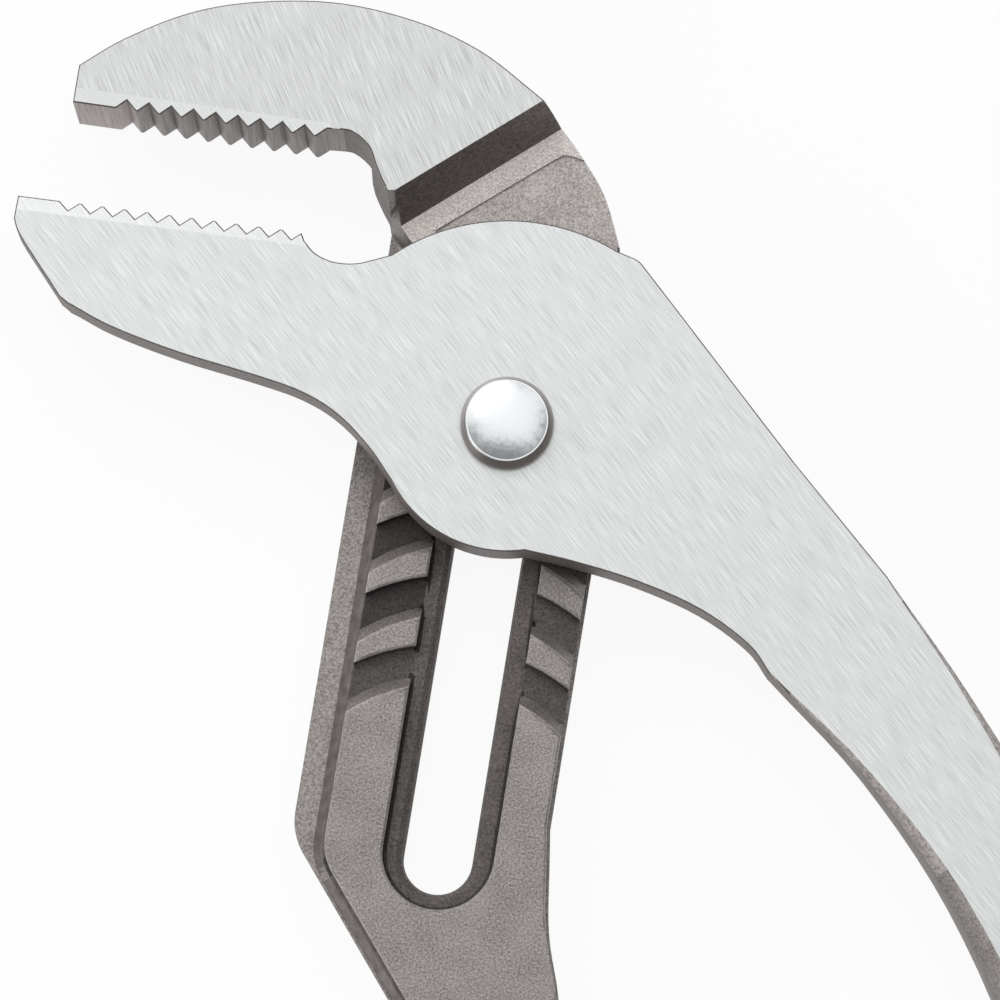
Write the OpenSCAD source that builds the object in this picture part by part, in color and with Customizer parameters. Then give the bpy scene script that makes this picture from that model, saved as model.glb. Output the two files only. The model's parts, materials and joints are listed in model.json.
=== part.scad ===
// Water pump pliers with a slotted lever, a tongued lever and a bolted pivot.
// Origin on the pivot axis, on the plane that the tool lies on.
// +Y runs along the slot towards the jaws and +Z points to the bolt's head.

/* [Pivot] */
// Diameter of the bolt's shank
bolt_d = 7.9; // [7:0.1:8.6]
// Radial clearance of the shank in the tongued lever's bore
bore_gap = 0.06; // [0.02:0.01:0.1]
// Clearance of the shank on each side of the slot
slot_gap = 0.12; // [0.05:0.01:0.3]
// Room in the slot beyond the last setting
slot_room = 0.9; // [0:0.1:1.5]
// Diameter of the bolt's head at its foot
head_d = 11; // [10:0.1:14]
// Diameter of the flat-domed crown of the head
crown_d = 9.4; // [8:0.1:9.8]
// Width of the narrow flat rim round the crown
crown_rim = 0.2; // [0.1:0.05:0.4]
// Height of the head's side
head_h = 2.6; // [1.5:0.1:4]
// Rise of the crown's dome
dome_h = 0.8; // [0.4:0.1:1.5]
// Gap under the head
head_gap = 0.05; // [0.02:0.01:0.2]
// Width of the nut across its flats
nut_af = 12.7; // [11:0.1:14]
// Height of the nut
nut_h = 4; // [3:0.1:6]
// Gap between the nut and the floor of its track
nut_gap = 0.1; // [0.05:0.01:0.3]
// Radial clearance of the nut on the bolt's end
thread_gap = 0.03; // [0.01:0.01:0.05]
// Depth of the nut's track in the slotted lever's back
track_d = 1.4; // [0.8:0.1:2]
// Clearance of the nut's corners in the track
track_gap = 0.4; // [0.2:0.05:0.8]

/* [Adjustment] */
// Number of jaw settings
positions = 7; // [5:1:8]
// Distance between two settings
pitch = 8.4; // [7.6:0.1:9.2]
// Radius of the bearing edge of a land, about its own setting
land_r = 19.6; // [18.8:0.1:20.4]
// Width of a channel at its mouth
groove_w = 4.8; // [4.4:0.1:5.4]
// Depth of a channel
groove_d = 2.2; // [1.6:0.1:2.6]
// Run of the channel's sloped bearing wall
groove_run = 1.5; // [0.5:0.1:1.8]
// Clearance between a tongue and the channel's walls
tongue_gap = 0.2; // [0.1:0.05:0.4]
// Clearance under a tongue
tongue_rest = 0.3; // [0.2:0.05:0.6]
// Width of the sunk strip on each side of the slot
recess_w = 2.5; // [2:0.1:3]
// How far the tongued lever opens from the drawn pose
open_angle = 35; // [30:1:38]
// How far the tongued lever closes from the drawn pose
close_angle = 10.5; // [6:0.5:11]

/* [Levers] */
// Thickness of the slotted lever at the joint
rear_t = 6.4; // [5.5:0.1:8]
// Thickness of the tongued lever at the joint
front_t = 5.6; // [4.5:0.1:7]
// Gap between the two levers
face_gap = 0.1; // [0.05:0.01:0.2]
// Distance from the slot's axis to the left edge of the flange
left_w = 17.6; // [16.5:0.1:18.5]
// Distance from the slot's axis to the left edge of the lands
land_w = 13.5; // [12.8:0.1:14]
// Distance from the slot's axis to the right edge
right_w = 12.4; // [11.5:0.1:14]
// Drop from the lands to the flange
flange_drop = 4; // [3:0.1:5]
// Drop from the lands to the thin lip beside them
lip_drop = 2.4; // [2.3:0.1:3]
// Width of the thin lip
lip_w = 0.4; // [0.2:0.1:0.8]
// Width of the riser between the flange and the lip
riser_w = 1; // [0.5:0.1:1.5]
// Draft of the lever's right edge, from the flange to the lands
draft = 0.4; // [0.2:0.05:0.8]
// Radius of the left edge's knee at the foot of the slot
knee_r = 7; // [5:0.5:9]
// Radius of the tongued lever's boss below the bolt
boss_r = 15.2; // [14:0.1:16]
// Room between the tongued lever's thick jaw and the flange
edge_gap = 0.5; // [0.3:0.1:1]

/* [Jaws] */
// Distance from the slot's axis to the upper jaw's nose
upper_reach = 57.1; // [52:0.1:62]
// Distance from the slot's axis to the lower jaw's nose
lower_reach = 61.6; // [57:0.1:66]
// Height of the upper tooth row above the pivot, at the nose
upper_y = 30.25; // [29:0.05:33]
// Height of the lower tooth row above the pivot, at the nose
lower_y = 18.05; // [16:0.05:19]
// Tilt of the upper tooth row
upper_tilt = 0.9; // [0:0.1:2]
// Tilt of the lower tooth row
lower_tilt = 1.6; // [0:0.1:2]
// Plain length at the upper nose
upper_nose = 5; // [4:0.1:7]
// Plain length at the lower nose
lower_nose = 4.8; // [4:0.1:7]
// Distance from the slot's axis to the end of the upper tooth row
upper_root = 24.6; // [24:0.1:27]
// Distance from the slot's axis to the end of the lower tooth row
lower_root = 27.3; // [26.5:0.1:29]
// Pitch of the teeth
tooth_pitch = 2.67; // [2.2:0.01:3.2]
// Depth of the teeth
tooth_d = 1.05; // [0.6:0.05:1.3]
// Flat width on the tip of a tooth
tooth_flat = 0.3; // [0.2:0.05:0.6]
// Width of the ground bevel along each tooth row
bevel_w = 1.2; // [0.6:0.1:2]
// Depth of the ground bevel along each tooth row
bevel_d = 0.25; // [0.15:0.05:1]
// Depth of the shallow sunk field below the upper jaw
field_d = 0.4; // [0.2:0.1:0.8]
// Distance from the lever's front rim to the foot of the upper jaw's step
step_room = 3.4; // [2:0.1:5]
// Run of the upper jaw's sloped step
step_run = 3; // [1:0.1:4]
// Drop from the lands to the shelf at the foot of that step
shelf_drop = 0.05; // [0.02:0.01:0.2]

/* [Handles] */
// Distance that the handles run on below the joint
handle_len = 180; // [150:1:220]
// Width of a handle where its grip starts
handle_w = 13; // [11:0.1:15]
// Width of a handle at its end
handle_end_w = 11.5; // [10:0.1:13]
// Width of the broken edges along a handle
handle_edge = 2.4; // [1.5:0.1:3.5]

/* [Grips] */
// Thickness of a grip's wall
grip_wall = 2.4; // [1.5:0.1:2.6]
// Clearance between a grip and its handle
grip_gap = 0.08; // [0.05:0.01:0.2]
// Distance from the pivot to the mouth of each grip
grip_reach = 122; // [112:1:135]

/* [Hidden] */
$fn = 96;

// Heights of the faces, from the plane that the tool lies on
z_back = nut_h + nut_gap - track_d;
z_mate = z_back + rear_t;
z_plate = z_mate + face_gap;
z_front = z_plate + front_t;
z_flange = z_mate - flange_drop;
z_lip = z_mate - lip_drop;
body_t = z_front - z_back;

// Joint sizes
travel = (positions - 1) * pitch;
slot_r = bolt_d / 2 + slot_gap;
recess_r = slot_r + recess_w;
nut_r = nut_af / 2 / cos(30);
track_r = nut_r + track_gap;
groove_out = land_r + groove_w;
tongue_out = groove_out - 2 * tongue_gap;
rim_r = groove_out + 0.1;
step_foot = rim_r + step_room;
step_angle = 40.9;
facet_angle = 9.2;
facet_foot = 24.65;
facet_run = 3.5;
corner_angle = -48;
root_angle = -59;
root_foot = -3.5;
root_draft = 1;
left_reach = 50;
tip_len = grip_wall + 1.5;
tip_flat = 0.45;
last_tooth = 0.62;
squareness = 2.6;
cut = 80;
slip = 0.5;
lap = 1.5;

// Angles of the two tongues, clockwise from the slot's axis. At the open limit the right one
// lies in the sunk strip and the left one has passed the lands, so that the bolt can slide.
right_span = asin((recess_r - tongue_gap) / groove_out);
left_clear = asin((land_w + tongue_gap) / land_r) + 1;

// Shape helpers
function unit(v) = v / norm(v);
function polar(r, a) = r * [sin(a), cos(a)];
function arc(r, a, b, n) = [for (i = [0 : n]) polar(r, a + (b - a) * i / n)];
function blend(p, q, r, s, t) = 0.5 * (2 * q + (r - p) * t + (2 * p - 5 * q + 4 * r - s) * t * t
    + (3 * q - p - 3 * r + s) * t * t * t);
// A smooth curve through a list of points, n steps from one to the next
function smooth(p, n = 5) = let (last = len(p) - 1) [
    for (i = [0 : last - 1])
        let (before = i > 0 ? p[i - 1] : 2 * p[0] - p[1])
        let (after = i < last - 1 ? p[i + 2] : 2 * p[last] - p[last - 1])
        for (k = [0 : n - 1]) blend(before, p[i], p[i + 1], after, k / n),
    p[last]];
// A rounded corner at b, between the lines to a and c
function corner(a, b, c, r, n = 8) =
    let (u = unit(a - b), w = unit(c - b), half = acos(u * w) / 2)
    let (mid = b + unit(u + w) * r / sin(half), from = b + u * r / tan(half) - mid)
    let (start = atan2(from.y, from.x), turn = (180 - 2 * half) * (cross(u, w) > 0 ? -1 : 1))
    [for (i = [0 : n]) mid + r * [cos(start + turn * i / n), sin(start + turn * i / n)]];

function reversed(p) = [for (i = [len(p) - 1 : -1 : 0]) p[i]];

// Direction of a path of stations at station i
function heading(p, i) = let (a = p[max(i - 1, 0)], b = p[min(i + 1, len(p) - 1)])
    unit([b.x - a.x, b.y - a.y]);
function across(d) = [-d.y, d.x];
// A closed skin over rings that have the same number of points
module skin(rings) {
    n = len(rings[0]);
    m = len(rings);
    sides = [for (i = [0 : m - 2]) for (j = [0 : n - 1])
        let (a = i * n + j, b = i * n + (j + 1) % n) each [[a, b + n, b], [a, a + n, b + n]]];
    first = [for (j = [0 : n - 1]) j];
    final = [for (j = [n - 1 : -1 : 0]) (m - 1) * n + j];
    polyhedron([for (r = rings) each r], concat([first], sides, [final]));
}

// Handles: each station is x, y, width, thickness, run and drop of its broken edges
function stations(list) = smooth(list, 5);
front_stations = stations([
    [41, -17.7, 18, front_t, 0.15, 0.15],
    [53.3, -28.9, 15.6, front_t + 2, 0.7, 0.9],
    [66, -43.5, 14.2, body_t - 1.2, 1.6, 1.6],
    [77, -62, 13.4, body_t, handle_edge, handle_edge],
    [85, -84, handle_w, body_t, handle_edge, handle_edge],
    [91, -117, handle_w, body_t, handle_edge, handle_edge],
    [96.5, -167, (handle_w + handle_end_w) / 2, body_t, handle_edge, handle_edge],
    [102.5, -56 - handle_len, handle_end_w, body_t, handle_edge, handle_edge]]);
rear_stations = stations([
    [8.1, -travel - 17.8, 18.2, rear_t, 1.1, flange_drop],
    [10.7, -travel - 24, 16.2, rear_t, 1.3, 3.4],
    [13.8, -travel - 32.6, 14.5, rear_t + 2, 1.7, 2.6],
    [17.5, -travel - 46.6, 13.4, body_t, handle_edge, handle_edge],
    [22, -travel - 77.6, handle_w, body_t, handle_edge, handle_edge],
    [27.5, -travel - 127.6, (handle_w + handle_end_w) / 2, body_t, handle_edge, handle_edge],
    [32, -travel - 16.6 - handle_len, handle_end_w, body_t, handle_edge, handle_edge]]);

// Section of a handle at station i: up is +1 where the back is flat and -1 where the face is flat
function handle_ring(p, i, up, gap = 0) =
    let (s = p[i], n = across(heading(p, i)), w = s[2] / 2 + gap)
    let (low = (up > 0 ? z_back : z_front - s[3]) - gap, high = (up > 0 ? z_back + s[3] : z_front) + gap)
    let (run = s[4], drop = s[5], under = min(run, drop))
    let (half = [[w, low + under], [w, high - drop], [w - run, high]])
    let (back = [[run - w, high], [-w, high - drop], [-w, low + under]])
    [for (q = concat(half, back, [[under - w, low], [w - under, low]]))
        [s.x + n.x * q[0], s.y + n.y * q[0], q[1]]];
// Left and right corner of the plate where a handle starts
function start_corner(p, side) =
    let (n = across(heading(p, 0)) * side * p[0][2] / 2) [p[0].x + n.x, p[0].y + n.y];
// Two points well inside a handle, left and right of station i
function station_core(p, i) = [for (side = [-1, 1])
    let (n = across(heading(p, i)) * side * p[i][2] / 3) [p[i].x + n.x, p[i].y + n.y]];
module handle(p, up) skin([for (i = [0 : len(p) - 1]) handle_ring(p, i, up)]);

// A plate with the given outline between two heights
module plate(outline, low, high) translate([0, 0, low]) linear_extrude(high - low) polygon(outline);
// A straight slot with round ends, from y = top to y = bottom
module slot(r, top, bottom, low, high) translate([0, 0, low]) {
    translate([-r, bottom, 0]) cube([2 * r, top - bottom, high - low]);
    for (y = [top, bottom]) translate([0, y, 0]) cylinder(r = r, h = high - low);
}
// V notches along a tooth row that starts at p, pointing up (+1) or down (-1) into the metal
module notches(p, tilt, count, up) translate([p.x, p.y, z_back - 1]) rotate(tilt) for (i = [0 : count - 1]) {
    half = (tooth_pitch - tooth_flat) / 2;
    lip = 0.5;
    wide = half * (1 + lip / tooth_d);
    translate([i * tooth_pitch, 0, 0]) linear_extrude(body_t + 2)
        polygon([[-wide, -lip * up], [wide, -lip * up], [0, tooth_d * up]]);
}
// Wedge that grinds a bevel along a tooth row, on the front face
module ground_bevel(p, tilt, length, up) translate([p.x, p.y, z_front]) rotate(tilt)
    rotate([90, 0, 90]) linear_extrude(length) polygon([
        [-1 * up, 1], [bevel_w * up + 2 * bevel_w * up, 2 * bevel_d], [bevel_w * up, 0],
        [0, -bevel_d], [-1 * up, -bevel_d - bevel_d / bevel_w]]);

// Slotted lever
upper_first = upper_nose + tooth_pitch / 2 - upper_reach;
upper_roots = floor((upper_reach - upper_nose - upper_root) / tooth_pitch);
upper_end = upper_first + (upper_roots - 1) * tooth_pitch;
function upper_line(x) = upper_y + (x + upper_reach) * tan(upper_tilt);
// Top of the upper jaw, from the nose to the right edge
shoulder = [9.7, 24.2];
jaw_back = smooth([[-upper_reach, upper_y + 4.5], [4.8 - upper_reach, 38.8], [11.9 - upper_reach, 43.1],
    [-37.5, 45.7], [-28, 47.1], [-18.6, 46.4], [-10.5, 44.1], [-3.8, 40.4], [0.1, 37.8], [3.7, 34.2],
    [6, 31.5], [7.6, 28.9], shoulder]);
// Throat of the upper jaw, from the last tooth to the flange
flange_top = [0.3 - left_w, 21.5];
upper_throat = smooth([[upper_end, upper_line(upper_end) + tooth_d], [-24.4, 31.95], [-23.4, 31.7],
    [-22.4, 31.15], [-21.3, 30.2], [-20.5, 28.7], [-19.5, 27], [-18.3, 25], flange_top]);
// Right edge of the lever, from its handle up to the jaw
rear_left = start_corner(rear_stations, -1);
rear_right = start_corner(rear_stations, 1);
right_edge = concat(
    smooth([rear_right, [right_w + 1.8, -7.2 - travel], [right_w + 0.6, 0.8 - travel],
        [right_w, 5 - travel]]),
    smooth([[right_w, 6], [right_w - 0.7, 16], shoulder]));
// Left edge at distance w from the slot's axis, set in along the diagonal below the knee
diagonal = unit([0.634, -0.773]);
function left_edge(w, inset, n = 8) =
    let (foot = rear_left + inset * across(diagonal) + lap * diagonal)
    let (knee = foot - (foot.x + w) / diagonal.x * diagonal)
    concat([[-w, 22.5]], corner([-w, 20], knee, foot, knee_r, n), [foot]);
// Outline of level k of the lever below the jaw, run on into the handle and the jaw
function level(w, inset, k) = concat(left_edge(w, inset), station_core(rear_stations, 3 + k),
    [for (p = right_edge) p + [0.05 - k * draft, 0]], [[6, 30 - 2 * k], [-10, 30 - 2 * k]]);
land_inset = 1.6;

// A slope from the shelf up to the jaw's front, at a turn and a distance from the pivot
module slope(turn, foot, run) rotate(turn) translate([-cut, foot, z_mate - shelf_drop]) rotate([90, 0, 90])
    linear_extrude(2 * cut) polygon([[-cut, 0], [0, 0], 2 * [run, front_t + face_gap],
        [-cut, 2 * (front_t + face_gap)]]);
// Root of the throat, wider towards the back, where the forging has its draft
module throat_root() intersection() {
    plate([[-20.9, 30.2], [-21.15, 29.4], [-20.95, 28.4], [-20.4, 27.1], [-19.15, 25.2], [-18.1, 23.8], [-17.5, 21.8],
        [-15, 21.8], [-15, 30.2]], z_back, z_front);
    rotate(root_angle) translate([-cut, root_foot, z_back]) rotate([90, 0, 90]) linear_extrude(2 * cut)
        polygon([[0, 0], [root_draft, z_front - z_back], [8, z_front - z_back], [8, 0]]);
}
module upper_jaw() difference() {
    union() {
        plate(concat([[-upper_reach, upper_y]], jaw_back, [[4, 26], [1.3 - left_w, 20]], reversed(upper_throat),
            [[upper_end - (tooth_pitch - tooth_flat) / 2, upper_line(upper_end)]]), z_back, z_front);
        throat_root();
    }
    // Step down to the lands, and the facet at its left end
    slope(step_angle, step_foot, step_run);
    slope(facet_angle, facet_foot, facet_run);
    // Sloped corner from the shelf's left end down to the flange
    rotate(corner_angle) translate([-29.6, 2.93, z_mate]) rotate([90, 0, 90]) linear_extrude(10)
        polygon([[-4, -flange_drop], [-1, -flange_drop], [front_t / flange_drop, front_t], [-4, front_t]]);
}
// Sloped riser from the flange to the thin lip, along the left edge of the lands
module riser() {
    edge = left_edge(land_w, land_inset, 11);
    base = z_flange - slip / 2;
    foot = lip_w + riser_w * (z_lip - base) / (z_lip - z_flange);
    section = [[-1, z_lip], [lip_w, z_lip], [foot, base], [-1, base]];
    skin([for (i = [0 : len(edge) - 1]) let (n = across(heading(edge, i)))
        [for (q = section) [edge[i].x - n.x * q.x, edge[i].y - n.y * q.x, q.y]]]);
}
// Curved channels for the tongues, one for each setting
module channels() intersection() {
    for (k = [0 : positions - 1]) translate([0, -k * pitch, z_mate]) rotate(15) rotate_extrude(angle = 150)
        polygon([[land_r, slip], [land_r, 0], [land_r + groove_run, -groove_d],
                 [groove_out, -groove_d], [groove_out, slip]]);
    translate([-land_w - lip_w / 2, -cut, z_mate - cut]) cube([cut, 2 * cut, 2 * cut]);
}
module slotted_lever() color("dimgray") difference() {
    union() {
        plate(level(left_w, -0.05, 0), z_back, z_flange);
        riser();
        plate(level(land_w, land_inset, 1), z_back + slip, z_mate);
        upper_jaw();
        handle(rear_stations, 1);
    }
    channels();
    slot(slot_r, 0, -travel - slot_room, z_back - 1, z_mate + 1);
    slot(recess_r, groove_out - recess_r - slip / 2, -travel - slot_room / 2, z_mate - groove_d, z_mate + 1);
    slot(track_r, 0, -travel, z_back - 1, z_back + track_d);
    notches([upper_first, upper_line(upper_first)], upper_tilt, upper_roots - 1, 1);
    ground_bevel([-upper_reach - 1, upper_line(-upper_reach - 1) + tooth_d / 2], upper_tilt,
        upper_reach + upper_end + 1.5, 1);
    // Shallow sunk field above the top channel, open to the right edge
    plate(concat([[-12.3, 19], [-12.3, 22.8]], smooth([[0.4, 33.6], [2.2, 34.3], [8, 33]]),
        [[right_w + 4, 19]]), z_mate - field_d, z_mate + 1);
}

// Tongued lever, drawn with its jaw nearly parallel to the upper one
lower_first = lower_nose + tooth_pitch / 2 - lower_reach;
lower_roots = floor((lower_reach - lower_nose - lower_root) / tooth_pitch);
lower_end = lower_first + (lower_roots - last_tooth) * tooth_pitch;
function lower_line(x) = lower_y + (x + lower_reach) * tan(lower_tilt);
tooth_row = [[-lower_reach, lower_y], [lower_end, lower_line(lower_end)]];
lower_throat = smooth([[lower_end + 0.6, lower_line(lower_end) - tooth_d], [-25.8, 16.75], [-24, 16.1],
    [-22.3, 16], [-20.5, 16.3], [-19, 16.9], polar(rim_r, -43)]);
// From the round rim over the corner to the handle
handle_top = corner(polar(rim_r, 24), [12.3, 21.9], [20.9, 13.3], 2.5);
front_left = start_corner(front_stations, -1);
front_right = start_corner(front_stations, 1);
handle_foot = smooth([front_left, [32, -21.4], [25.8, -18.2], [18, -16.1], [10.5, -15], polar(boss_r, 163)]);
belly = smooth([polar(boss_r, -125), [-15.8, -5.2], [-20, -2], [-24.5, -0.1], [-30.2, 1], [-39.6, 2.3],
    [-48, 4.1], [-53.6, 6.1]]);
lower_front = concat([[-54.7, 6.75]],
    smooth([[1.6 - lower_reach, 12.6], [0.6 - lower_reach, 13.9], [-lower_reach, 15.2]]));
// A tongue between two angles, clockwise from the slot's axis
module tongue(from, to) rotate(90 - to) rotate_extrude(angle = to - from) polygon([
    [land_r + tongue_gap, z_plate + slip], [land_r + tongue_gap, z_plate],
    [land_r + groove_run + tongue_gap, z_mate - groove_d + tongue_rest],
    [tongue_out, z_mate - groove_d + tongue_rest], [tongue_out, z_plate + slip]]);
// Thick back of the jaw, with room to pass the flange at both limits of the swing
module lower_jaw_back() difference() {
    plate(concat(tooth_row, lower_throat, [[-15, 10], [-15, 0], [-24, 1], [-30, 2.1], [-39.6, 3.4],
        [-48, 5.2], [-54.2, 7.2], [1.7 - lower_reach, 13.1], [-lower_reach, 15.6]]), z_back, z_plate + slip);
    flange_room(-open_angle);
    flange_room(close_angle);
}
module flange_room(a) rotate(a)
    translate([-left_w - edge_gap, -cut, z_back - 1]) cube([cut, 2 * cut, z_plate - z_back + 1 + slip / 2]);
module tongue_lever() color("silver") difference() {
    union() {
        plate(concat(tooth_row, lower_throat, arc(rim_r, -40, 23, 24), handle_top, [[34, 0.9], front_right],
            reversed(station_core(front_stations, 2)), handle_foot, arc(boss_r, 166, 232, 20), belly,
            lower_front), z_plate, z_front);
        lower_jaw_back();
        tongue(open_angle - right_span, open_angle + right_span);
        tongue(-left_reach, open_angle - left_clear);
        handle(front_stations, -1);
    }
    translate([0, 0, z_back]) cylinder(d = bolt_d + 2 * bore_gap, h = body_t + 1);
    notches([lower_first, lower_line(lower_first)], lower_tilt, lower_roots, -1);
    ground_bevel([-lower_reach - 1, lower_line(-lower_reach - 1) - tooth_d / 2], lower_tilt,
        lower_reach + lower_end + 2, -1);
}

// Bolt with a low domed head, its end flush with the nut
module pivot_bolt() color("lightgray") {
    foot = z_front + head_gap;
    broken = 0.6;
    dome_r = (crown_d * crown_d / 4 + dome_h * dome_h) / (2 * dome_h);
    spread = asin(crown_d / 2 / dome_r);
    dome = [for (i = [0 : 8]) let (a = spread * (1 - i / 8))
        [dome_r * sin(a), foot + head_h + dome_h - dome_r * (1 - cos(a))]];
    rotate_extrude() polygon(concat([[0, 0], [bolt_d / 2 - broken, 0], [bolt_d / 2, broken],
        [bolt_d / 2, foot], [head_d / 2, foot], [head_d / 2, foot + head_h / 3],
        [crown_d / 2 + crown_rim, foot + head_h]], dome));
}

// Hexagon nut with broken corners
module pivot_nut() color("gray") difference() {
    intersection() {
        cylinder(r = nut_r, h = nut_h, $fn = 6);
        rotate_extrude() polygon([[0, 0], [nut_af / 2 - 0.2, 0],
            [nut_r + 0.1, (nut_r + 0.3 - nut_af / 2) * tan(30)], [nut_r + 0.1, nut_h], [0, nut_h]]);
    }
    translate([0, 0, -1]) cylinder(d = bolt_d + 2 * thread_gap, h = nut_h + 2);
}

// Dipped grips: a sleeve that is closed and rounded at the handle's end
function oval(s, n, w, h) = [for (a = [0 : 15 : 345])
    let (c = cos(a), d = sin(a), k = pow(pow(abs(c), squareness) + pow(abs(d), squareness), -1 / squareness))
    [s.x + n.x * w * k * c, s.y + n.y * w * k * c, (z_back + z_front) / 2 + h * k * d]];
module grip(p, up) {
    from = min([for (i = [0 : len(p) - 1]) if (norm([p[i].x, p[i].y]) >= grip_reach) i]);
    last = len(p) - 1;
    high = body_t / 2 + grip_wall;
    end = heading(p, last);
    body = [for (i = [from : last]) oval(p[i], across(heading(p, i)), p[i][2] / 2 + grip_wall, high)];
    // Rounded end, as a quarter of an ellipse that leaves a flat tip
    tip = [for (a = [20 : 20 : 80]) let (out = end * tip_len * sin(a), k = tip_flat + (1 - tip_flat) * cos(a))
        oval([p[last].x + out.x, p[last].y + out.y], across(end),
            (p[last][2] / 2 + grip_wall) * k, high * k)];
    difference() {
        skin(concat(body, tip));
        skin([for (i = [from - 1 : last]) handle_ring(p, i, up, grip_gap)]);
    }
}
module slotted_lever_grip() color("#2b2c2e") grip(rear_stations, 1);
module tongue_lever_grip() color("#2b2c2e") grip(front_stations, -1);

slotted_lever();
tongue_lever();
pivot_bolt();
pivot_nut();
slotted_lever_grip();
tongue_lever_grip();
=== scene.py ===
import bpy
import bmesh
import json
import math
from mathutils import Matrix, Vector


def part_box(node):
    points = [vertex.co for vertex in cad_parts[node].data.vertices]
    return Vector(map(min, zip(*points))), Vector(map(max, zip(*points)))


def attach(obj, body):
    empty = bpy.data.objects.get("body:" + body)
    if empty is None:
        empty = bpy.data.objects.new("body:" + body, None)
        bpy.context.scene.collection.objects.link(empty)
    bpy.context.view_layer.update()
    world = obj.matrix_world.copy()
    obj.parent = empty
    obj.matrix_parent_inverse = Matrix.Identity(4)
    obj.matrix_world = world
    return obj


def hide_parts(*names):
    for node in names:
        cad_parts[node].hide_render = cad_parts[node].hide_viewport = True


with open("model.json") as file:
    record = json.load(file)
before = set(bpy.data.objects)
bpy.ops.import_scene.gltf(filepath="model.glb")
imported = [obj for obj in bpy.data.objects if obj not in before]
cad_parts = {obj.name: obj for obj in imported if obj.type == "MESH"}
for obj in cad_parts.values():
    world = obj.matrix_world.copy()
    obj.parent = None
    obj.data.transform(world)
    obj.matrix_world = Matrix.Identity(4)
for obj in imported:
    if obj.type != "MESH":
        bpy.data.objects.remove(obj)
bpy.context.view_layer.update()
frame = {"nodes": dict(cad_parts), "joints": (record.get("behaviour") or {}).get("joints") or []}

# Slotted lever: a steel drop forging with the upper jaw, the long slot and the curved channels.
# Its jaw and its back are ground flat, and everything between keeps the grey, pebbled skin of the forging.
MM = 0.001
SLIDE = next(j for j in frame["joints"] if j["name"] == "setting_slide")["range_m"][1] / MM
# Heights in mm: the ground back, the ground front, the lands, the flange and the floor of the channels
Z_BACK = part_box("slotted_lever")[0].z / MM
Z_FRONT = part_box("tongue_lever")[1].z / MM
Z_LAND = Z_BACK + 6.4
Z_FLANGE, Z_FLOOR = Z_LAND - 4, Z_LAND - 2.2
# The slot and the sunk strip round it: half the width, and the Y between which their edges are followed
SLOT_HALF, SLOT_TOP, SLOT_END = 4.07, 0, -SLIDE - 0.9
STRIP_HALF, STRIP_TOP, STRIP_END = 6.57, 10, -SLIDE - 0.45
# The lands between the channels: left edge, right edge with some room, and foot
LANDS_LEFT, LANDS_RIGHT, LANDS_FOOT = -13.5, 14, -58
# Lowest Y of the ground jaw, of the shelf at its foot, and of the top channel's faces painted light with the
# sunk field's finish
JAW_FOOT, SHELF_FOOT, PAINTED_LIGHT_FOOT = 20, 18, 16
# The two tooth rows: right end, and lowest and highest Y
TOOTH_ROWS = ((-24.9, 29, 33), (-26.8, 16.3, 19.6))
# How deep below the ground front its bevels and the rim of a tooth reach
BEVEL_DEPTH, TOOTH_RIM = 0.9, 0.6
# How near to a height or an edge counts as on it
NEAR = 0.1
# How far a face looks up, from 1 for a level face to 0 for a wall: the least of a dead level and of a level
# face, the most of a slope and of a wall, the least of a tilted face, the least and the most of a rounded rim
DEAD_LEVEL, LEVEL, SLOPED, UPRIGHT, TILTED = 0.999, 0.98, 0.9, 0.35, 0.1
RIM_LEAST, RIM_MOST = 0.2, 0.93


def linear(hex_colour):
    """An sRGB hex colour as the linear colour that a shader's socket takes."""
    parts = [int(hex_colour[i:i + 2], 16) / 255 for i in (0, 2, 4)]
    return tuple(p / 12.92 if p <= 0.04045 else ((p + 0.055) / 1.055) ** 2.4 for p in parts) + (1,)


def add(tree, kind, settings=None, links=None):
    """Adds a node, sets its properties and sockets, and links other nodes' outputs to its inputs."""
    node = tree.nodes.new(kind)
    for name, value in (settings or {}).items():
        if name in node.inputs:
            node.inputs[name].default_value = value
        else:
            setattr(node, name, value)
    for name, output in (links or {}).items():
        tree.links.new(output, node.inputs[name])
    return node


def new_steel(name, metallic):
    """An empty material with a shader for steel, and the coordinates of the piece."""
    material = bpy.data.materials.new(name)
    material.use_nodes = True
    tree = material.node_tree
    shader = tree.nodes["Principled BSDF"]
    shader.inputs["Metallic"].default_value = metallic
    place = add(tree, "ShaderNodeTexCoord").outputs["Object"]
    return material, tree, shader, place


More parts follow.
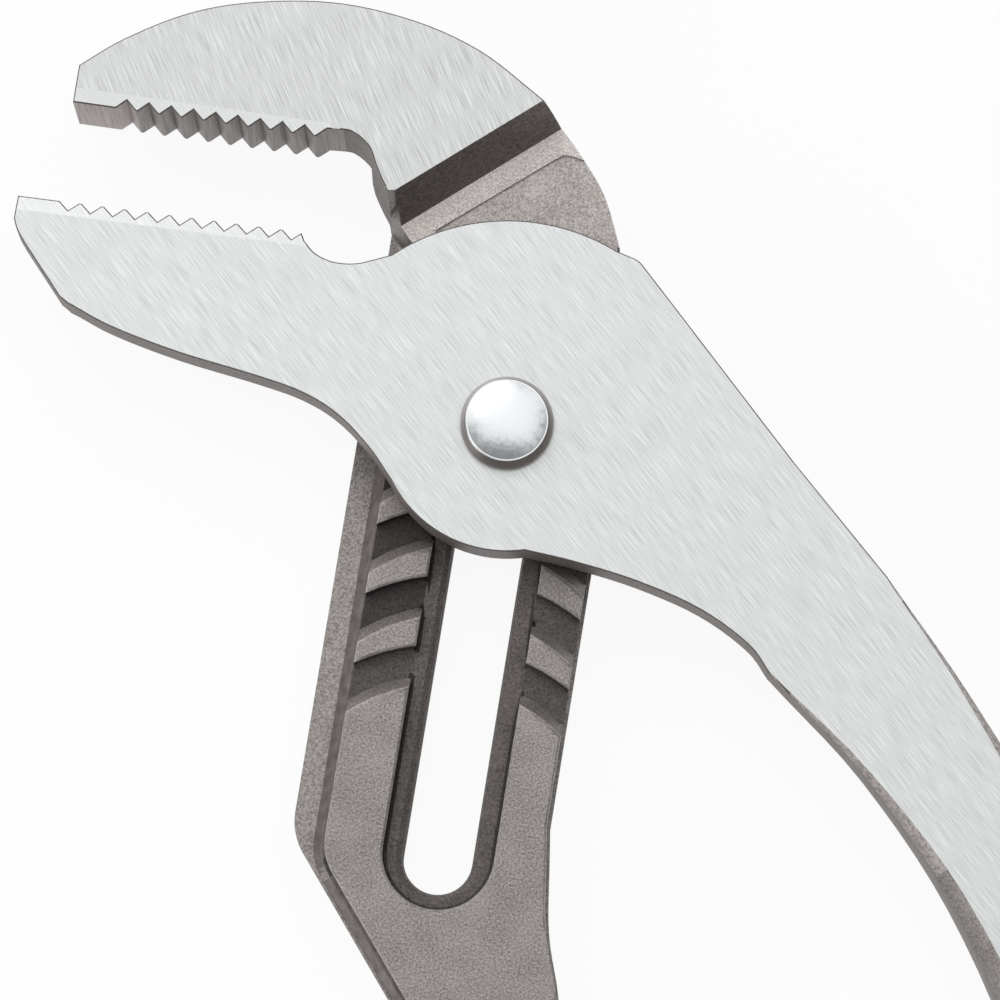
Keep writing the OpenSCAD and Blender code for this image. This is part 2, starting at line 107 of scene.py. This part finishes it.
def ground_steel(name, grain_angle, bright, dull):
    """Steel ground on a belt: fine straight scratches in one direction. They are drawn 0.08 mm wide, coarser
    than real ones, so that they show."""
    scratch_mm, streak_mm = (4.5, 0.08, 3), (9, 0.4, 8)
    along = (0, 0, math.radians(grain_angle))
    material, tree, shader, place = new_steel(name, 1)
    fine = add(tree, "ShaderNodeMapping", {"vector_type": "TEXTURE", "Rotation": along,
               "Scale": [v * MM for v in scratch_mm]}, {"Vector": place})
    scratch = add(tree, "ShaderNodeTexNoise", {"Scale": 1, "Detail": 2, "Roughness": 0.6},
                  {"Vector": fine.outputs["Vector"]})
    wide = add(tree, "ShaderNodeMapping", {"vector_type": "TEXTURE", "Rotation": along,
               "Scale": [v * MM for v in streak_mm]}, {"Vector": place})
    streak = add(tree, "ShaderNodeTexNoise", {"Scale": 1, "Detail": 2}, {"Vector": wide.outputs["Vector"]})
    both = add(tree, "ShaderNodeMix", {"data_type": "FLOAT", "Factor": 0.05},
               {"A": scratch.outputs["Fac"], "B": streak.outputs["Fac"]})
    tone = add(tree, "ShaderNodeValToRGB", links={"Fac": both.outputs["Result"]})
    tone.color_ramp.elements[0].position = 0.3
    tone.color_ramp.elements[0].color = linear(dull)
    tone.color_ramp.elements[1].position = 0.69
    tone.color_ramp.elements[1].color = linear(bright)
    rough = add(tree, "ShaderNodeMapRange", {"To Min": 0.46, "To Max": 0.34},
                {"Value": scratch.outputs["Fac"]})
    bump = add(tree, "ShaderNodeBump", {"Strength": 0.25, "Distance": 0.02 * MM},
               {"Height": scratch.outputs["Fac"]})
    tree.links.new(tone.outputs["Color"], shader.inputs["Base Color"])
    tree.links.new(rough.outputs["Result"], shader.inputs["Roughness"])
    tree.links.new(bump.outputs["Normal"], shader.inputs["Normal"])
    return material


def forged_steel(name, light, dark, pebble_mm=0.26, depth_mm=0.09):
    """Drop-forged steel after blasting: a warm grey, pebbled skin with small dark pits and bright crests."""
    cloud_mm = 4
    material, tree, shader, place = new_steel(name, 0.45)
    pebble = add(tree, "ShaderNodeTexNoise", {"Scale": 1 / (pebble_mm * MM), "Detail": 2, "Roughness": 0.6},
                 {"Vector": place})
    cloud = add(tree, "ShaderNodeTexNoise", {"Scale": 1 / (cloud_mm * MM), "Detail": 2}, {"Vector": place})
    both = add(tree, "ShaderNodeMix", {"data_type": "FLOAT", "Factor": 0.18},
               {"A": pebble.outputs["Fac"], "B": cloud.outputs["Fac"]})
    tone = add(tree, "ShaderNodeValToRGB", links={"Fac": both.outputs["Result"]})
    tone.color_ramp.elements[0].position = 0.34
    tone.color_ramp.elements[0].color = linear(dark)
    tone.color_ramp.elements[1].position = 0.64
    tone.color_ramp.elements[1].color = linear(light)
    rough = add(tree, "ShaderNodeMapRange", {"To Min": 0.62, "To Max": 0.42},
                {"Value": pebble.outputs["Fac"]})
    bump = add(tree, "ShaderNodeBump", {"Strength": 0.8, "Distance": depth_mm * MM},
               {"Height": pebble.outputs["Fac"]})
    tree.links.new(tone.outputs["Color"], shader.inputs["Base Color"])
    tree.links.new(rough.outputs["Result"], shader.inputs["Roughness"])
    tree.links.new(bump.outputs["Normal"], shader.inputs["Normal"])
    return material


def broached_steel(name, light, dark):
    """Steel cut by a broach through the jaw: dull, with fine straight tool marks across the thickness."""
    mark_mm = (0.25, 0.25, 9)
    material, tree, shader, place = new_steel(name, 0.7)
    drawn = add(tree, "ShaderNodeMapping", {"vector_type": "TEXTURE", "Scale": [v * MM for v in mark_mm]},
                {"Vector": place})
    mark = add(tree, "ShaderNodeTexNoise", {"Scale": 1, "Detail": 2}, {"Vector": drawn.outputs["Vector"]})
    tone = add(tree, "ShaderNodeValToRGB", links={"Fac": mark.outputs["Fac"]})
    tone.color_ramp.elements[0].position = 0.36
    tone.color_ramp.elements[0].color = linear(dark)
    tone.color_ramp.elements[1].position = 0.62
    tone.color_ramp.elements[1].color = linear(light)
    bump = add(tree, "ShaderNodeBump", {"Strength": 0.3, "Distance": 0.02 * MM},
               {"Height": mark.outputs["Fac"]})
    shader.inputs["Roughness"].default_value = 0.45
    tree.links.new(tone.outputs["Color"], shader.inputs["Base Color"])
    tree.links.new(bump.outputs["Normal"], shader.inputs["Normal"])
    return material


# Points of a mesh that are nearer than a crumb, in mm, are merged, and faces within FLAT count as one plane
LEVER_CRUMB, SMALL_CRUMB = 0.06, 0.002
FLAT = math.radians(0.5)


def copy_to_dress(node, name, crumb_mm=SMALL_CRUMB, level=False):
    """A copy of a CAD node's mesh under a new name, with its loose triangles joined and its crumbs merged.
    With level, flat areas are triangulated afresh, so that they have no needles."""
    source = frame["nodes"][node]
    bpy.ops.object.select_all(action="DESELECT")
    piece = bpy.data.objects.new(name, source.data.copy())
    bpy.context.scene.collection.objects.link(piece)
    piece.data.materials.clear()
    piece.select_set(True)
    bpy.context.view_layer.objects.active = piece
    bpy.ops.object.mode_set(mode="EDIT")
    bpy.ops.mesh.select_all(action="SELECT")
    bpy.ops.mesh.remove_doubles(threshold=crumb_mm * MM)
    if level:
        bpy.ops.mesh.dissolve_limited(angle_limit=FLAT)
        bpy.ops.mesh.quads_convert_to_tris(quad_method="BEAUTY", ngon_method="BEAUTY")
    bpy.ops.object.mode_set(mode="OBJECT")
    return piece


# Edges sharper than SHARP are rounded, and faces that meet at less than SMOOTH are shaded as one.
# A rounding takes at most ROOM of the width of the narrower face beside it.
SHARP, SMOOTH, ROOM = math.radians(22), math.radians(32), 0.4


def strip_widths(mesh):
    """For each face, the width in mm of its smooth area: twice the area over the length of its outline."""
    widths = {}
    for seed in mesh.faces:
        if seed in widths:
            continue
        area, queue = {seed}, [seed]
        while queue:
            for edge in queue.pop().edges:
                if len(edge.link_faces) == 2 and edge.calc_face_angle(0) < SHARP:
                    fresh = [f for f in edge.link_faces if f not in area]
                    area.update(fresh)
                    queue.extend(fresh)
        outline = sum(e.calc_length() for f in area for e in f.edges
                      if any(o not in area for o in e.link_faces))
        width = 2 * sum(f.calc_area() for f in area) / max(outline, MM) / MM
        widths.update({f: width for f in area})
    return widths


def break_edges(piece, width_mm, share=lambda low, high, up: 1.0, crisp=lambda p, n: False):
    """Rounds the piece's sharp edges. share gives an edge's part of the width, from its two ends in mm, the
    lower first, and how far its two faces look up. crisp says which faces are shaded flat."""
    mesh = bmesh.new()
    mesh.from_mesh(piece.data)
    widths = strip_widths(mesh)
    weights = []
    for edge in mesh.edges:
        weight = 0.0
        if len(edge.link_faces) == 2 and edge.calc_face_angle(0) > SHARP:
            low, high = sorted((v.co / MM for v in edge.verts), key=lambda p: p.z)
            most = ROOM * min(widths[f] for f in edge.link_faces) / width_mm
            weight = min(share(low, high, sorted(f.normal.z for f in edge.link_faces)), most)
        weights.append(weight)
    mesh.free()
    layer = piece.data.attributes.new("bevel_weight_edge", "FLOAT", "EDGE")
    layer.data.foreach_set("value", weights)
    bevel = piece.modifiers.new("broken edges", "BEVEL")
    bevel.limit_method = "WEIGHT"
    bevel.width = width_mm * MM
    bevel.segments = 2
    bevel.use_clamp_overlap = False
    bevel.loop_slide = False
    bpy.ops.object.modifier_apply(modifier=bevel.name)
    bpy.ops.object.shade_smooth_by_angle(angle=SMOOTH)
    for face in piece.data.polygons:
        face.use_smooth = not crisp(face.center / MM, face.normal)
    level = piece.modifiers.new("level faces", "WEIGHTED_NORMAL")
    level.keep_sharp = True
    bpy.ops.object.modifier_apply(modifier=level.name)


# Widths of the rounded edges in mm: the slot's rim, the strip's foot, the lands and the rim of a ground front
ROUND_WIDE, ROUND_FOOT, ROUND_EDGE, ROUND_RIM = 0.9, 0.45, 0.3, 0.15


def near_teeth(p):
    """Whether a point lies along one of the two tooth rows."""
    return any(p.x < right and low < p.y < high for right, low, high in TOOTH_ROWS)


def off_middle(p, top, end):
    """How far a point lies from the slot's middle line between two Y, in mm."""
    return math.hypot(p.x, p.y - max(min(p.y, top), end))


def on_slot_rim(p):
    """Whether a point lies on the edge between the slot and the sunk floor beside it."""
    return abs(p.z - Z_FLOOR) < NEAR and abs(off_middle(p, SLOT_TOP, SLOT_END) - SLOT_HALF) < NEAR


def on_strip_foot(p):
    """Whether a point lies on the corner between the sunk strip and the wall up to the lands."""
    return abs(p.z - Z_FLOOR) < NEAR and abs(off_middle(p, STRIP_TOP, STRIP_END) - STRIP_HALF) < NEAR


def on_lands(p):
    """Whether a point lies on the lands."""
    inside = LANDS_LEFT - NEAR < p.x < LANDS_RIGHT and LANDS_FOOT < p.y < SHELF_FOOT
    return inside and abs(p.z - Z_LAND) < NEAR


def front_rim(low, high, up):
    """Share of ROUND_WIDE on an edge of a ground front: hair-thin, where the grinding was deburred."""
    square = up[0] < UPRIGHT and up[1] > SLOPED
    return ROUND_RIM / ROUND_WIDE if square and low.z > Z_FRONT - BEVEL_DEPTH else 0.0


def slotted_rounding(low, high, up):
    """Share of ROUND_WIDE on an edge of the slotted lever: all of it on the slot's rim, less on the lands."""
    if on_slot_rim(low) and on_slot_rim(high):
        return 1.0
    if on_strip_foot(low) and on_strip_foot(high):
        return ROUND_FOOT / ROUND_WIDE
    if on_lands(low) and high.z < Z_LAND + NEAR:
        return ROUND_EDGE / ROUND_WIDE
    return front_rim(low, high, up)


def ground_flat(p, n):
    """Whether a face belongs to a tooth or lies level, and so meets its neighbours crisply."""
    return near_teeth(p) or abs(n.z) > DEAD_LEVEL


def on_front_rim(p, n):
    """Whether a face is part of the hair-thin rounding round a ground front."""
    depth = TOOTH_RIM if near_teeth(p) else ROUND_RIM
    return RIM_LEAST < n.z < RIM_MOST and p.z > Z_FRONT - depth


def on_tooth_bevel(p, n):
    """Whether a face is part of the ground bevel along a tooth row."""
    return n.z > UPRIGHT and p.z > Z_FRONT - BEVEL_DEPTH and near_teeth(p)


def finish_faces(piece, finishes, choose):
    """Gives each face the finish that choose(middle in mm, normal) names."""
    names = list(finishes)
    for name in names:
        piece.data.materials.append(finishes[name])
    for face in piece.data.polygons:
        face.material_index = names.index(choose(face.center / MM, face.normal))


jaw_grain = ground_steel("ground_jaw_steel", -58, "cdcfce", "9e9f9e")
back_grain = ground_steel("ground_back_steel", 84, "c0c2c1", "a3a5a4")
# The upper tooth row's bevel is painted almost white, lighter than the ground jaw: a painted highlight
upper_bevel_painted_highlight = ground_steel("ground_upper_bevel_steel_painted_highlight", -50, "eaecec", "dcdedd")
forged_skin = forged_steel("blasted_forging", "aaa4a1", "716b68")
# The shelf's skin is the field's, painted lighter: painted light against the shade of the step above it
shelf_skin_painted_light = forged_steel("blasted_forging_shelf_painted_light", "dfd9d6", "a09996", 0.22, 0.05)
forged_field = forged_steel("blasted_forging_field", "c9c3c0", "8b8481", 0.22, 0.05)
# Channel floors: dark forging scale with painted shade in it. The first copy, for the upper left channels, is
# painted darker still as their shadow
scale_floor_painted_shade = forged_steel("forging_scale_floor_painted_shade", "403c39", "262322")
scale_floor_less_shade = forged_steel("forging_scale_floor_less_shade", "5f5a57", "3b3734")
strip_scale = forged_steel("forging_scale_strip", "6c6562", "443f3c")
wall_scale = forged_steel("forging_scale_wall", "a29b98", "6e6865")
riser_scale = forged_steel("smooth_forging_riser", "7d7673", "645d5a", 1.2, 0.03)
step_skin = forged_steel("rough_forging_step", "877f7b", "625b57", 0.4, 0.05)
side_skin = forged_steel("trimmed_forging_side", "827a77", "5c5552")
tooth_steel = broached_steel("broached_tooth_steel", "8a827f", "6b6461")
nose_steel = broached_steel("broached_nose_steel", "aca1a0", "938887")
deburred_rim = forged_steel("deburred_rim", "6e6a67", "57524f", 0.4, 0.02)
# Sloping edge faces are painted lighter than the skin: partly wear, partly a painted highlight where light
# catches the rounding
worn_edge_and_painted_highlight = forged_steel("worn_forging_edge_and_painted_highlight", "c4bebb", "8e8784", 0.4, 0.04)
# The area of the channels and the sunk field: left, right, lowest and highest
JOINT_LEFT, JOINT_RIGHT, JOINT_FOOT, JOINT_TOP = -15.5, 13, -60, 24
# Right end of the plain nose, and lowest Y of the darker floors with painted shade in the channels, of the
# worn edges with their painted highlight and of the ground back
NOSE_END, PAINTED_SHADE_FOOT, WORN_AND_HIGHLIGHT_FOOT, GROUND_FOOT = -49.5, -26, -66, -76
# The riser beside the lands: its right end, and its drop from them
RISER_END, RISER_DROP = 2, 1.5
# How far a face of the jaw's step looks to the right
STEP_TURN = 0.35


def channel_finish(p, n):
    """Finish of a face below the lands: the sunk field, the strip beside the slot, the channels."""
    # Faces of the top channel take the lighter field finish: painted light in their deep shade
    if p.y > PAINTED_LIGHT_FOOT:
        return "field"
    off = off_middle(p, STRIP_TOP, STRIP_END)
    # The rounded foot of the strip takes the dark floor finish: a painted shadow line along the wall up to
    # the lands
    if TILTED < n.z < LEVEL and abs(off - STRIP_HALF) < ROUND_FOOT:
        return "floor"
    if n.z > UPRIGHT and off < STRIP_HALF:
        return "strip"
    if UPRIGHT < n.z < SLOPED:
        return "wall"
    # Upper left floors take the darker copy: painted shade where the lands shadow them
    return "floor" if p.x < 0 and p.y > PAINTED_SHADE_FOOT else "thin floor"


def slotted_lever_finish(p, n):
    """Finish of a face of the slotted lever, by where it lies and which way it looks."""
    on_jaw = p.y > JAW_FOOT
    if on_jaw and on_front_rim(p, n):
        return "rim"
    if on_jaw and n.z > LEVEL and p.z > Z_FRONT - NEAR:
        return "jaw"
    if on_tooth_bevel(p, n):
        return "bevel"
    if n.z < -LEVEL and p.z < Z_BACK + NEAR and p.y > GROUND_FOOT:
        return "back"
    if near_teeth(p) and abs(n.z) < UPRIGHT:
        return "nose" if p.x < NOSE_END else "teeth"
    if p.y > SHELF_FOOT and n.z > LEVEL and p.z < Z_LAND + NEAR:
        # The shelf at the lands' height takes the lighter copy: painted light
        return "shelf" if p.z > Z_LAND - NEAR else "field"
    if on_jaw and TILTED < n.z < SLOPED and p.z > Z_FLANGE + NEAR:
        return "step" if n.x > STEP_TURN and p.z > Z_LAND else "field"
    beside_lands = (p.x < LANDS_LEFT + 2 * NEAR and not on_jaw) or (p.x < RISER_END and p.y < LANDS_FOOT)
    if beside_lands and n.z > TILTED and Z_FLANGE + NEAR < p.z < Z_LAND - RISER_DROP:
        return "riser"
    in_joint = JOINT_LEFT < p.x < JOINT_RIGHT and JOINT_FOOT < p.y < JOINT_TOP
    if in_joint and Z_FLANGE + NEAR < p.z < Z_LAND - ROUND_EDGE:
        return channel_finish(p, n)
    if abs(n.z) < UPRIGHT:
        return "side"
    # Sloping edge faces take the lighter edge finish: wear and painted highlight
    if UPRIGHT < n.z < SLOPED and p.y > WORN_AND_HIGHLIGHT_FOOT:
        return "edge"
    return "skin"


slotted_lever = copy_to_dress("slotted_lever", "slotted_lever_steel", LEVER_CRUMB, level=True)
break_edges(slotted_lever, ROUND_WIDE, slotted_rounding, ground_flat)
finish_faces(slotted_lever, {
    "skin": forged_skin, "jaw": jaw_grain, "back": back_grain, "bevel": upper_bevel_painted_highlight, "shelf": shelf_skin_painted_light,
    "field": forged_field, "floor": scale_floor_painted_shade, "thin floor": scale_floor_less_shade, "strip": strip_scale,
    "wall": wall_scale, "riser": riser_scale, "step": step_skin, "side": side_skin, "teeth": tooth_steel,
    "nose": nose_steel, "rim": deburred_rim, "edge": worn_edge_and_painted_highlight}, slotted_lever_finish)
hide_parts("slotted_lever")
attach(slotted_lever, "slotted_half")

# Tongued lever: the front forging, with the lower jaw, the bore and two tongues on its back.
# Its whole front is ground along the handle, and its sides keep the darker skin of the trimmed forging.
handle_grain = ground_steel("ground_handle_steel", -43, "d2d4d4", "aeb0b0")
# The lower tooth row's copy of the same ground bevel is painted darker: painted shade
lower_bevel_painted_shade = ground_steel("ground_lower_bevel_steel_painted_shade", -50, "c9cbca", "babcbb")
# Right end of the jaw's ground back, and lowest Y of the worn edges with their painted highlight
JAW_BACK_END, TONGUE_WORN_AND_HIGHLIGHT_FOOT = -17, -45


def tongue_lever_finish(p, n):
    """Finish of a face of the tongued lever, by where it lies and which way it looks."""
    if on_front_rim(p, n):
        return "rim"
    if n.z > LEVEL and p.z > Z_FRONT - NEAR:
        return "face"
    if on_tooth_bevel(p, n):
        return "bevel"
    if n.z < -LEVEL and p.x < JAW_BACK_END and p.z < Z_BACK + NEAR:
        return "back"
    if near_teeth(p) and abs(n.z) < UPRIGHT:
        return "teeth"
    if abs(n.z) < UPRIGHT:
        return "side"
    # Sloping edge faces take the lighter edge finish: wear and painted highlight
    if UPRIGHT < n.z < SLOPED and p.y > TONGUE_WORN_AND_HIGHLIGHT_FOOT:
        return "edge"
    return "skin"


tongue_lever = copy_to_dress("tongue_lever", "tongue_lever_steel", LEVER_CRUMB, level=True)
break_edges(tongue_lever, ROUND_WIDE, front_rim, ground_flat)
finish_faces(tongue_lever, {
    "skin": forged_skin, "face": handle_grain, "back": back_grain, "bevel": lower_bevel_painted_shade,
    "side": side_skin, "teeth": tooth_steel, "rim": deburred_rim, "edge": worn_edge_and_painted_highlight}, tongue_lever_finish)
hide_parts("tongue_lever")
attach(tongue_lever, "tongued_half")

# Pivot bolt: turned from bar, with a low domed head that is polished by barrel tumbling.
# The dome mirrors the light softly, and the side of the head is darker and even.
DOME_RISE, CROWN_R = 0.8, 4.7
CROWN_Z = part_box("pivot_bolt")[1].z / MM - DOME_RISE
BOLT_ROUND, CROWN_SHARE = 0.25, 0.3


def turned_steel(name, light, dark, least_rough, most_rough):
    """Turned and tumbled steel: even, with faint clouds where it was dulled."""
    cloud_mm = 5
    material, tree, shader, place = new_steel(name, 1)
    cloud = add(tree, "ShaderNodeTexNoise", {"Scale": 1 / (cloud_mm * MM), "Detail": 1}, {"Vector": place})
    tone = add(tree, "ShaderNodeValToRGB", links={"Fac": cloud.outputs["Fac"]})
    tone.color_ramp.elements[0].color = linear(dark)
    tone.color_ramp.elements[1].color = linear(light)
    rough = add(tree, "ShaderNodeMapRange", {"To Min": least_rough, "To Max": most_rough},
                {"Value": cloud.outputs["Fac"]})
    tree.links.new(tone.outputs["Color"], shader.inputs["Base Color"])
    tree.links.new(rough.outputs["Result"], shader.inputs["Roughness"])
    return material


def head_rounding(low, high, up):
    """Share of BOLT_ROUND on an edge of the bolt: a small one round the crown."""
    return CROWN_SHARE if low.z > CROWN_Z - NEAR else 1.0


def on_crown_rim(p, n):
    """Whether a face is part of the narrow flat ring round the dome."""
    return n.z > LEVEL and p.xy.length > CROWN_R


def bolt_finish(p, n):
    """Finish of a face of the bolt: the side of the head, or the polished rest."""
    return "side" if Z_FRONT < p.z < CROWN_Z - NEAR and n.z < SLOPED else "dome"


polished_dome = turned_steel("tumbled_bolt_dome", "d2d6d8", "c6c8c8", 0.24, 0.3)
turned_side = turned_steel("turned_bolt_side", "b3aaa6", "9a918d", 0.2, 0.3)
pivot_bolt = copy_to_dress("pivot_bolt", "pivot_bolt_steel")
break_edges(pivot_bolt, BOLT_ROUND, head_rounding, on_crown_rim)
finish_faces(pivot_bolt, {"dome": polished_dome, "side": turned_side}, bolt_finish)
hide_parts("pivot_bolt")
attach(pivot_bolt, "pivot")

# Pivot nut: a plain hexagon nut behind the slot, with the turned chamfer on its outer corners.
# It is bright steel dulled by handling, so it is greyer than the bolt's dome.
NUT_ROUND = 0.15
nut_steel = ground_steel("turned_nut_steel", 30, "c9cac9", "a3a4a3")
pivot_nut = copy_to_dress("pivot_nut", "pivot_nut_steel")
break_edges(pivot_nut, NUT_ROUND)
pivot_nut.data.materials.append(nut_steel)
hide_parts("pivot_nut")
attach(pivot_nut, "pivot")

# Grips: dark vinyl that the handles are dipped in, thick and soft, closed over the ends.
# Dipped vinyl has a satin gloss with a faint orange peel and long, low waves from the drips.
GRIP_ROUND, GRIP_SMOOTH = 0.8, math.radians(50)
PEEL_MM, WAVE_MM = 0.8, 14
dipped_vinyl = bpy.data.materials.new("dipped_vinyl")
dipped_vinyl.use_nodes = True
tree = dipped_vinyl.node_tree
shader = tree.nodes["Principled BSDF"]
shader.inputs["IOR"].default_value = 1.53
place = add(tree, "ShaderNodeTexCoord").outputs["Object"]
peel = add(tree, "ShaderNodeTexNoise", {"Scale": 1 / (PEEL_MM * MM), "Detail": 2}, {"Vector": place})
wave = add(tree, "ShaderNodeTexNoise", {"Scale": 1 / (WAVE_MM * MM), "Detail": 1}, {"Vector": place})
tone = add(tree, "ShaderNodeValToRGB", links={"Fac": wave.outputs["Fac"]})
tone.color_ramp.elements[0].color = linear("232528")
tone.color_ramp.elements[1].color = linear("303338")
rough = add(tree, "ShaderNodeMapRange", {"To Min": 0.36, "To Max": 0.52}, {"Value": peel.outputs["Fac"]})
low = add(tree, "ShaderNodeBump", {"Strength": 0.5, "Distance": 0.4 * MM}, {"Height": wave.outputs["Fac"]})
bump = add(tree, "ShaderNodeBump", {"Strength": 0.35, "Distance": 0.05 * MM},
           {"Height": peel.outputs["Fac"], "Normal": low.outputs["Normal"]})
tree.links.new(tone.outputs["Color"], shader.inputs["Base Color"])
tree.links.new(rough.outputs["Result"], shader.inputs["Roughness"])
tree.links.new(bump.outputs["Normal"], shader.inputs["Normal"])
for lever, body in (("slotted_lever", "slotted_half"), ("tongue_lever", "tongued_half")):
    grip = copy_to_dress(lever + "_grip", lever + "_vinyl")
    break_edges(grip, GRIP_ROUND)
    bpy.ops.object.shade_smooth_by_angle(angle=GRIP_SMOOTH)
    grip.data.materials.append(dipped_vinyl)
    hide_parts(lever + "_grip")
    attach(grip, body)

# Floor: a pale, matt studio table that the tool lies on.
# Seen directly or in the steel it is near white, and it keeps the tool's soft shadow.
TABLE_SIZE, TABLE_DROP, WHITE_SHARE = 6, 0.5 * MM, 0.92
bpy.ops.object.select_all(action="DESELECT")
bpy.ops.mesh.primitive_plane_add(size=TABLE_SIZE, location=(0, 0, -TABLE_DROP))
floor = bpy.context.object
floor.name = "studio_table"
table_top = bpy.data.materials.new("matt_table_top")
table_top.use_nodes = True
tree = table_top.node_tree
tree.nodes.remove(tree.nodes["Principled BSDF"])
path = add(tree, "ShaderNodeLightPath")
seen = add(tree, "ShaderNodeMath", {"operation": "MAXIMUM"})
tree.links.new(path.outputs["Is Camera Ray"], seen.inputs[0])
tree.links.new(path.outputs["Is Glossy Ray"], seen.inputs[1])
clear = add(tree, "ShaderNodeMath", {"operation": "MAXIMUM"})
tree.links.new(seen.outputs[0], clear.inputs[0])
tree.links.new(path.outputs["Is Transmission Ray"], clear.inputs[1])
share = add(tree, "ShaderNodeMath", {"operation": "MULTIPLY"})
share.inputs[1].default_value = WHITE_SHARE
tree.links.new(clear.outputs[0], share.inputs[0])
matt = add(tree, "ShaderNodeBsdfDiffuse", {"Color": linear("f4f4f4")})
white = add(tree, "ShaderNodeEmission", {"Color": linear("ffffff"), "Strength": 1})
mixed = add(tree, "ShaderNodeMixShader", links={"Fac": share.outputs[0]})
tree.links.new(matt.outputs[0], mixed.inputs[1])
tree.links.new(white.outputs[0], mixed.inputs[2])
tree.links.new(mixed.outputs[0], tree.nodes["Material Output"].inputs["Surface"])
floor.data.materials.append(table_top)

# Light: a wide softbox overhead, a second one low from the upper left, a small fill from the lower left
# and a dim even room. The overhead one is what the ground faces mirror, the second one shades the channels.
ROOM_LIGHT = 0.3
LIT_SPOT = Vector((0.01, -0.02, 0))
world = bpy.data.worlds.new("studio_room")
world.use_nodes = True
world.node_tree.nodes["Background"].inputs["Color"].default_value = linear("ffffff")
world.node_tree.nodes["Background"].inputs["Strength"].default_value = ROOM_LIGHT
bpy.context.scene.world = world
for name, place, size, power in (("overhead_softbox", (0.0, 0.45, 1.35), 1.7, 10.9),
                                 ("upper_left_softbox", (-0.9, 0.75, 0.8), 1.5, 8.5),
                                 ("lower_left_fill", (-0.8, -0.55, 0.35), 0.5, 3.0)):
    lamp = bpy.data.lights.new(name, "AREA")
    lamp.size = size
    lamp.energy = power
    box = bpy.data.objects.new(name, lamp)
    bpy.context.scene.collection.objects.link(box)
    box.location = place
    box.rotation_euler = (LIT_SPOT - Vector(place)).to_track_quat("-Z", "Y").to_euler()

# Camera: the photograph's own view, almost straight down on the tool's front.
# It stands a little towards the handles, and its picture is turned by the lean of the slot.
LENS_MM, SENSOR_MM, NEAREST_MM = 237.6, 36, 10
AIM = Vector((0.63, -9.09, Z_FRONT)) * MM
STAND = Vector((24.3, -134.4, Z_FRONT + 764.9)) * MM
PICTURE_UP = Vector((-0.1592, 0.9872, 0))
lens = bpy.data.cameras.new("photo_lens")
lens.lens = LENS_MM
lens.sensor_width = SENSOR_MM
lens.clip_start = NEAREST_MM * MM
camera = bpy.data.objects.new("photo_camera", lens)
bpy.context.scene.collection.objects.link(camera)
back = (STAND - AIM).normalized()
right = PICTURE_UP.cross(back).normalized()
turn = Matrix((right, back.cross(right), back)).transposed()
camera.matrix_world = Matrix.Translation(STAND) @ turn.to_4x4()
bpy.context.scene.camera = camera
bpy.context.scene.view_settings.view_transform = "Standard"
